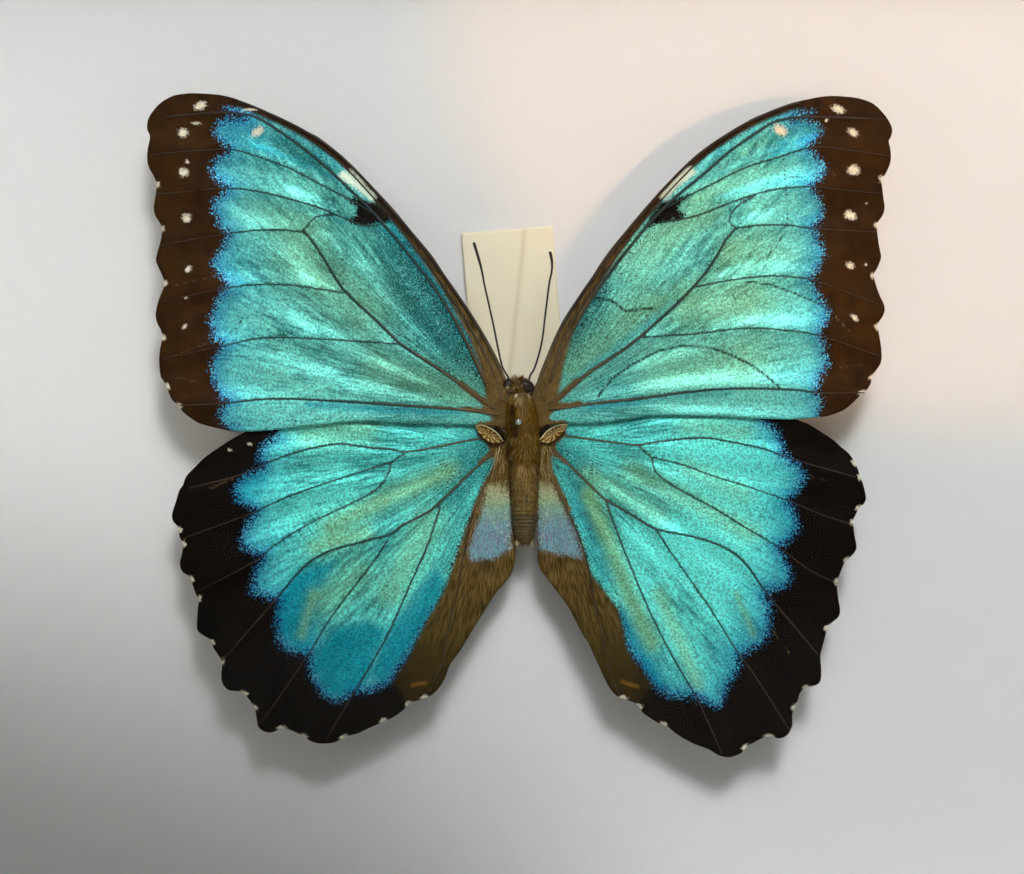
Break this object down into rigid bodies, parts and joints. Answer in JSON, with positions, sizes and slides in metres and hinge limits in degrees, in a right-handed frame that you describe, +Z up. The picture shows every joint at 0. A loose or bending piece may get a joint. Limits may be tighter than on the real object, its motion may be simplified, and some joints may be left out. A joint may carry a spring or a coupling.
{
  "type": "framed butterfly specimen",
  "caption": "Spread blue butterfly pinned over its data label on white foam board, behind glass in a deep wooden shadow-box frame that stands or hangs.",
  "frame": {"origin": "middle of the footprint, on the surface that the frame's bottom edge stands on", "axes": "+X to the right seen from the front, +Y back through the frame to the wall, +Z up the frame; the glass faces -Y"},
  "size_m": [0.22, 0.04, 0.19],
  "materials": {
    "frame_wood": "oiled walnut, satin",
    "glass": "clear float glass",
    "white_board": "matte white paper-faced foam board",
    "wing": "iridescent turquoise scales with dark brown borders",
    "body_hair": "golden-brown hair and scales",
    "antenna": "dark brown, satin",
    "steel": "bright steel",
    "label_card": "aged cream card, matte",
    "hardboard": "brown pressed hardboard",
    "brass": "brass-plated stamped strip"
  },
  "bodies": {
    "root": {"frame_rail_top": "frame_wood", "frame_rail_right": "frame_wood", "frame_rail_bottom": "frame_wood", "frame_rail_left": "frame_wood", "glass_pane": "glass", "spacer_top": "white_board", "spacer_bottom": "white_board", "spacer_right": "white_board", "spacer_left": "white_board", "mount_board": "white_board", "forewing_left": "wing", "forewing_right": "wing", "hindwing_left": "wing", "hindwing_right": "wing", "thorax": "body_hair", "head": "body_hair", "abdomen": "body_hair", "antenna_left": "antenna", "antenna_right": "antenna", "insect_pin": "steel", "data_label": "label_card", "back_panel": "hardboard", "retaining_tab_top_left": "steel", "retaining_tab_top_right": "steel", "retaining_tab_bottom_left": "steel", "retaining_tab_bottom_right": "steel", "retaining_tab_side_left": "steel", "retaining_tab_side_right": "steel", "sawtooth_hanger": "brass"}
  },
  "joints": []
}
